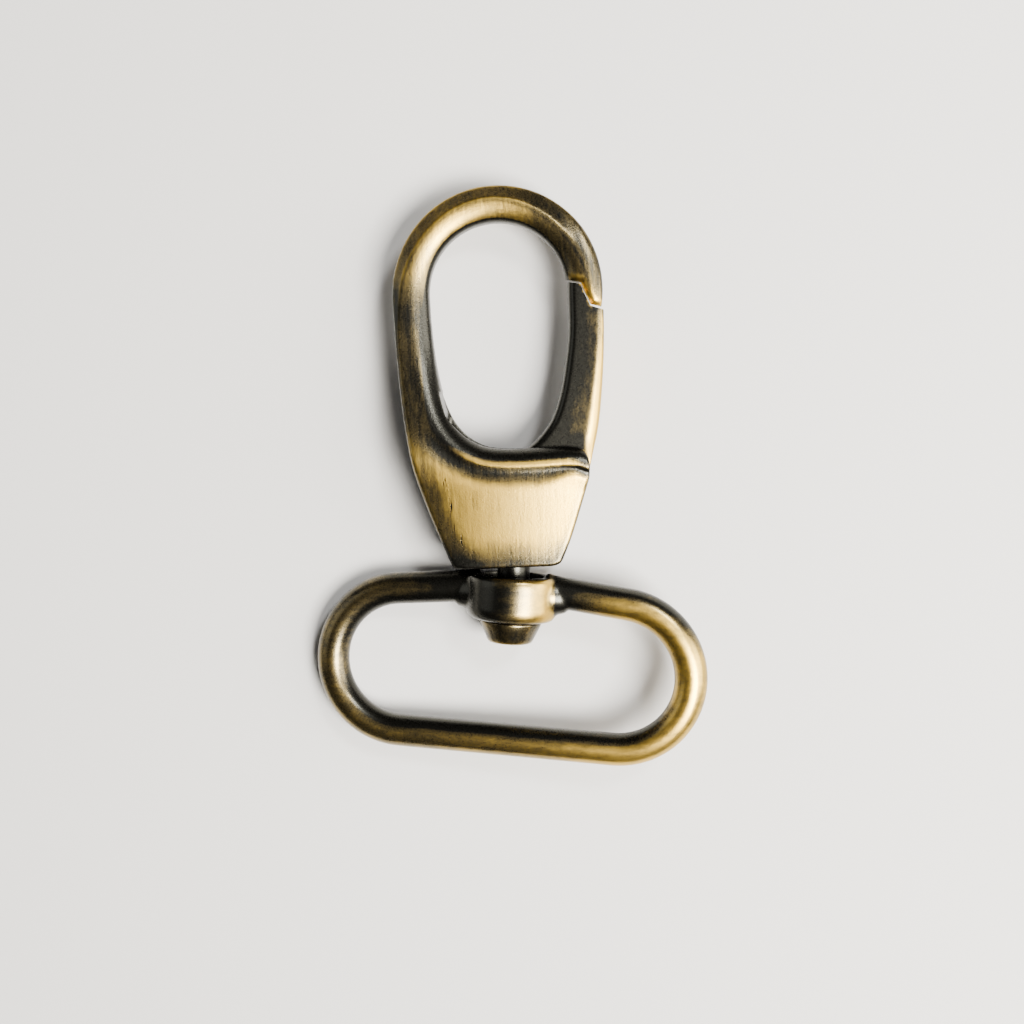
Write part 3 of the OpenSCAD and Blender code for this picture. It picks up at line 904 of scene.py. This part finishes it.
class SNAPHOOK_OT_add_loop(bpy.types.Operator):
    """Model the strap loop: one bent bar, joined at both ends to the collar"""
    bl_idname = "snaphook.add_loop"
    bl_label = "Add Strap Loop"

    def execute(self, context):
        sizes = context.scene.snap_hook_sizes
        bar = sizes.loop_bar * MM / 2
        piece = self.bent_bar(bar, sizes.loop_end * MM, sizes.loop_reach * MM)
        join([piece, self.collar(sizes.collar * MM / 2), self.web(1, bar), self.web(-1, bar)])
        knead(piece, grain=0.17, softness=7)
        low, high = COLLAR_BOTTOM_Y - 1, COLLAR_TOP_Y + 1
        cut(piece,
            rod("shank_bore", 1.96, (0, low, MID_Z), (0, high, MID_Z)),
            rod("cup", 3.8, (0, COLLAR_TOP_Y - 1.5, MID_Z), (0, COLLAR_TOP_Y + 4, MID_Z)))
        knead(piece, grain=0.17, softness=2)
        weather(piece, loop_wear_and_light)
        material = plated("Antique brass, loop", (0.3, 1.0, 1.0), fineness=1.6, mottle=0.7,
                          bump=0.025)
        finish_piece(piece, "loop", "strap_loop", material, leaning(ROLL))
        return {"FINISHED"}

    def bent_bar(self, bar, end, reach):
        """One round bar, out of the collar's right side and around both ends to its left."""
        root = 3.6
        end_y = BARS_MEET_Y - end / math.cos(SLOPE) - reach * math.tan(SLOPE)
        start = Vector((root, BARS_MEET_Y - root * math.tan(SLOPE), MID_Z))
        bend = Vector((reach + end * math.sin(SLOPE), end_y + end * math.cos(SLOPE), MID_Z))
        turn = {"steps": 40, "angle": math.pi - SLOPE, "axis": (0, 0, 1)}
        deselect()
        bpy.ops.mesh.primitive_circle_add(vertices=32, radius=bar, fill_type="NGON",
                                          location=start, rotation=(0, math.pi / 2, -SLOPE))
        piece = bpy.context.active_object
        piece.name = "loop_casting"
        bpy.ops.object.transform_apply()
        edit(piece, "FACE")
        extrude(bend - start)
        bpy.ops.mesh.spin(center=(reach, end_y, MID_Z), **turn)
        extrude((-2 * reach, 0, 0))
        bpy.ops.mesh.spin(center=(-reach, end_y, MID_Z), **turn)
        extrude((bend.x - start.x, start.y - bend.y, 0))
        bpy.ops.object.mode_set(mode="OBJECT")
        recalculate(piece)
        return piece

    def collar(self, r):
        """The collar before it is bored, a little wider than it is thick."""
        top, bottom = COLLAR_TOP_Y, COLLAR_BOTTOM_Y
        piece = turned("collar", [
            (0, top), (r - 0.75, top), (r - 0.35, top - 0.1), (r - 0.08, top - 0.4),
            (r, top - 0.9), (r, bottom + 1.2), (r - 0.15, bottom + 0.6),
            (r - 0.5, bottom + 0.15), (r - 1.0, bottom), (0, bottom)])
        p = points_of(piece)
        p[:, 0] *= 1.1
        place_points(piece, p)
        return piece

    def web(self, side, bar):
        """The fillet that thickens an upper bar below its root."""
        out = 5.3
        deselect()
        bpy.ops.mesh.primitive_cone_add(
            vertices=48, radius1=bar + 0.75, radius2=bar - 0.25, depth=2.6,
            location=(side * out, BARS_MEET_Y - out * math.tan(SLOPE) - 0.62, MID_Z),
            rotation=(0, side * math.pi / 2, -side * SLOPE))
        cone = bpy.context.active_object
        bpy.ops.object.transform_apply()
        return cone


# --- stage -----------------------------------------------------------------------------------

WARM, WHITE, COOL = (1.0, 0.97, 0.92), (1.0, 1.0, 1.0), (0.95, 0.97, 1.0)
LIGHTS = (                                      # places and sizes in metres, power in watts
    ("window", (0.20, -0.115, 0.37), 0.18, 9.5, WARM),
    ("upper_right", (0.19, 0.20, 0.36), 0.08, 1.8, WHITE),
    ("right_fill", (0.40, -0.02, 0.20), 0.28, 3.2, WARM),
    ("left_fill", (-0.42, 0.10, 0.22), 0.30, 0.35, COOL),
)
CAMERA_PLACE = (0.0076047, 0.0087813, 0.1524579)
CAMERA_ANGLES = (-3.3989, 2.6702, -2.4598)      # in degrees


class SNAPHOOK_OT_set_stage(bpy.types.Operator):
    """Set the table, the lights and the camera"""
    bl_idname = "snaphook.set_stage"
    bl_label = "Set Stage"

    def execute(self, context):
        deselect()
        bpy.ops.mesh.primitive_plane_add(size=1.2, location=(0, 0, 0))
        table = context.active_object
        table.name = "table"
        material = bpy.data.materials.new("Pale table")
        material.use_nodes = True
        shader = material.node_tree.nodes["Principled BSDF"]
        shader.inputs["Base Color"].default_value = (*context.scene.snap_hook_finish.floor, 1.0)
        shader.inputs["Roughness"].default_value = 0.9
        table.data.materials.append(material)

        world = bpy.data.worlds.new("Room")
        world.use_nodes = True
        background = world.node_tree.nodes["Background"]
        background.inputs["Color"].default_value = (1.0, 0.95, 0.88, 1.0)
        background.inputs["Strength"].default_value = 0.07
        context.scene.world = world
        for light in LIGHTS:
            self.add_light(*light)

        bpy.ops.object.camera_add(location=CAMERA_PLACE,
                                  rotation=tuple(math.radians(a) for a in CAMERA_ANGLES))
        camera = context.active_object
        camera.data.lens = 45
        camera.data.sensor_width = 36
        camera.data.clip_start = 0.01
        context.scene.camera = camera
        deselect()
        return {"FINISHED"}

    def add_light(self, name, place, size, power, tint):
        """A square area light that faces the hook."""
        bpy.ops.object.light_add(type="AREA", location=place,
                                 rotation=(-Vector(place)).to_track_quat("-Z", "Y").to_euler())
        light = bpy.context.active_object
        light.name = name
        light.data.size = size
        light.data.energy = power
        light.data.color = tint


# --- add-on ----------------------------------------------------------------------------------

class SNAPHOOK_PT_panel(bpy.types.Panel):
    """Lists the sizes, the finish and the steps that build the hook"""
    bl_idname = "SNAPHOOK_PT_panel"
    bl_label = "Snap Hook"
    bl_space_type = "VIEW_3D"
    bl_region_type = "UI"
    bl_category = "Snap Hook"

    def draw(self, context):
        layout = self.layout
        for group in (context.scene.snap_hook_sizes, context.scene.snap_hook_finish):
            box = layout.box()
            for name in group.bl_rna.properties.keys():
                if name not in ("rna_type", "name"):
                    box.prop(group, name)
        for operator in STEPS:
            layout.operator(operator.bl_idname)


STEPS = (SNAPHOOK_OT_set_stage, SNAPHOOK_OT_add_body, SNAPHOOK_OT_add_gate, SNAPHOOK_OT_add_pin,
         SNAPHOOK_OT_add_spring, SNAPHOOK_OT_add_post, SNAPHOOK_OT_add_loop)
CLASSES = (SnapHookSizes, SnapHookFinish, *STEPS, SNAPHOOK_PT_panel)


def register():
    for cls in CLASSES:
        bpy.utils.register_class(cls)
    bpy.types.Scene.snap_hook_sizes = PointerProperty(type=SnapHookSizes)
    bpy.types.Scene.snap_hook_finish = PointerProperty(type=SnapHookFinish)


def unregister():
    del bpy.types.Scene.snap_hook_finish
    del bpy.types.Scene.snap_hook_sizes
    for cls in reversed(CLASSES):
        bpy.utils.unregister_class(cls)


def main():
    register()
    bpy.ops.snaphook.set_stage()
    bpy.ops.snaphook.add_body()
    bpy.ops.snaphook.add_gate()
    bpy.ops.snaphook.add_pin()
    bpy.ops.snaphook.add_spring()
    bpy.ops.snaphook.add_post()
    bpy.ops.snaphook.add_loop()


if __name__ == "__main__":
    main()
